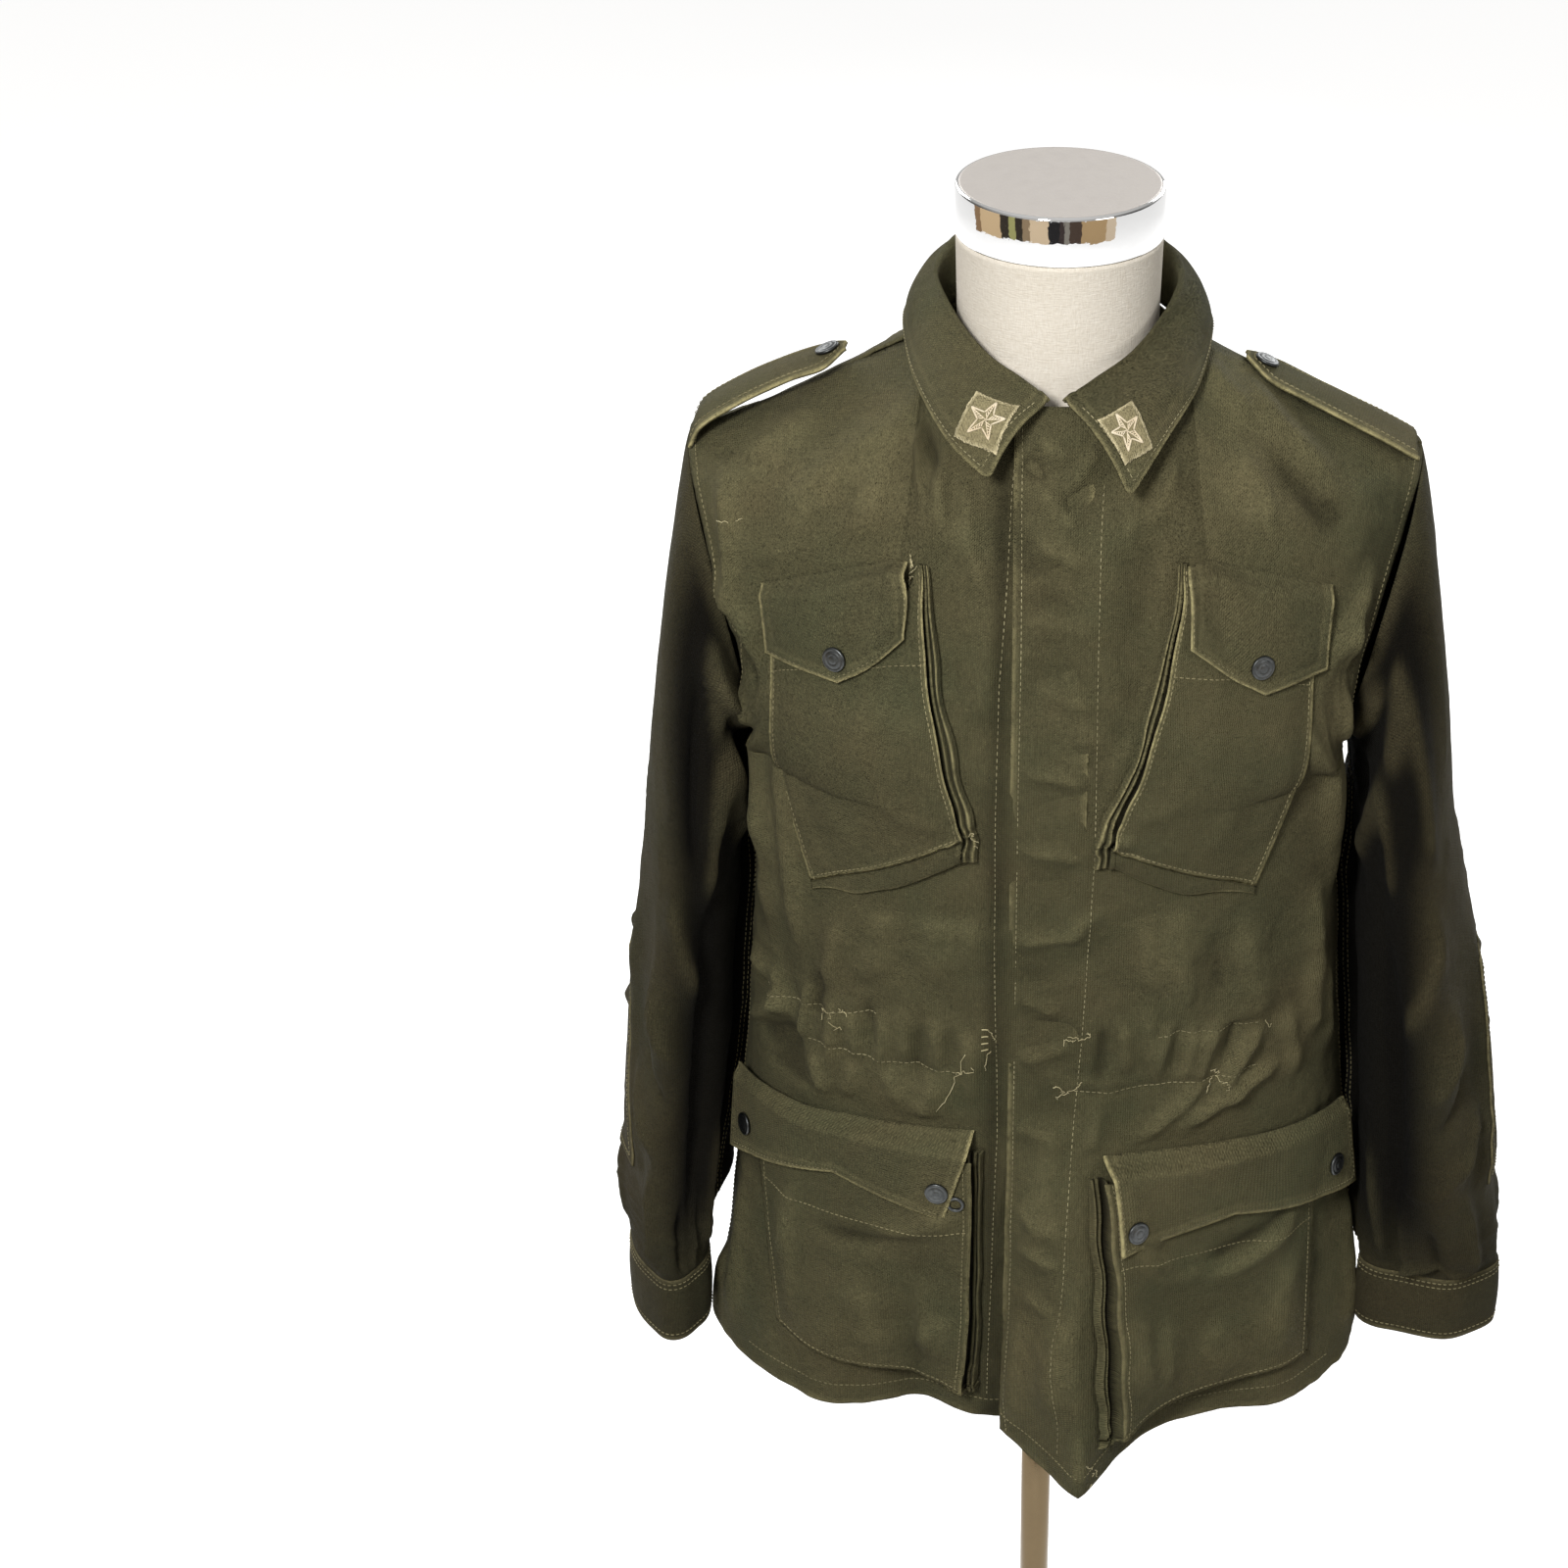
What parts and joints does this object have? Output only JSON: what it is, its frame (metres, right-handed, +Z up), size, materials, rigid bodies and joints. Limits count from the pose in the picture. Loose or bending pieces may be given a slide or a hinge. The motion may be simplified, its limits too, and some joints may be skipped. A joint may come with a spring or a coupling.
{
  "type": "field jacket on a limbless dress form",
  "caption": "Cotton field jacket with bellows pockets, shoulder straps and a fall collar, buttoned over a limbless dress form on a pole stand.",
  "frame": {"origin": "on the floor under the middle of the whole part's bounding box", "axes": "+Z up, the jacket's front faces -Y, the wearer's left is +X"},
  "size_m": [0.5834, 0.3462, 1.3],
  "materials": {
    "jacket_cloth": "washed cotton satin weave",
    "badge_cloth": "woven patch with embroidery",
    "snap_metal": "dark gunmetal lacquer",
    "form_linen": "slubby linen",
    "cap_chrome": "polished",
    "stand_metal": "polished, warm"
  },
  "bodies": {
    "root": {"front_left": "jacket_cloth", "front_right": "jacket_cloth", "back": "jacket_cloth", "sleeve_left": "jacket_cloth", "sleeve_right": "jacket_cloth", "cuff_left": "jacket_cloth", "cuff_right": "jacket_cloth", "elbow_patch_left": "jacket_cloth", "elbow_patch_right": "jacket_cloth", "collar": "jacket_cloth", "collar_patch_left": "badge_cloth", "collar_patch_right": "badge_cloth", "epaulette_left": "jacket_cloth", "snap_epaulette_left": "snap_metal", "epaulette_right": "jacket_cloth", "snap_epaulette_right": "snap_metal", "pocket_chest_right": "jacket_cloth", "flap_chest_right": "jacket_cloth", "snap_chest_right_1": "snap_metal", "pocket_chest_left": "jacket_cloth", "flap_chest_left": "jacket_cloth", "snap_chest_left_1": "snap_metal", "pocket_lower_right": "jacket_cloth", "flap_lower_right": "jacket_cloth", "snap_lower_right_1": "snap_metal", "snap_lower_right_2": "snap_metal", "pocket_lower_left": "jacket_cloth", "flap_lower_left": "jacket_cloth", "snap_lower_left_1": "snap_metal", "snap_lower_left_2": "snap_metal", "form_torso": "form_linen", "neck_cap": "cap_chrome", "pole": "stand_metal", "base": "stand_metal"}
  },
  "joints": []
}
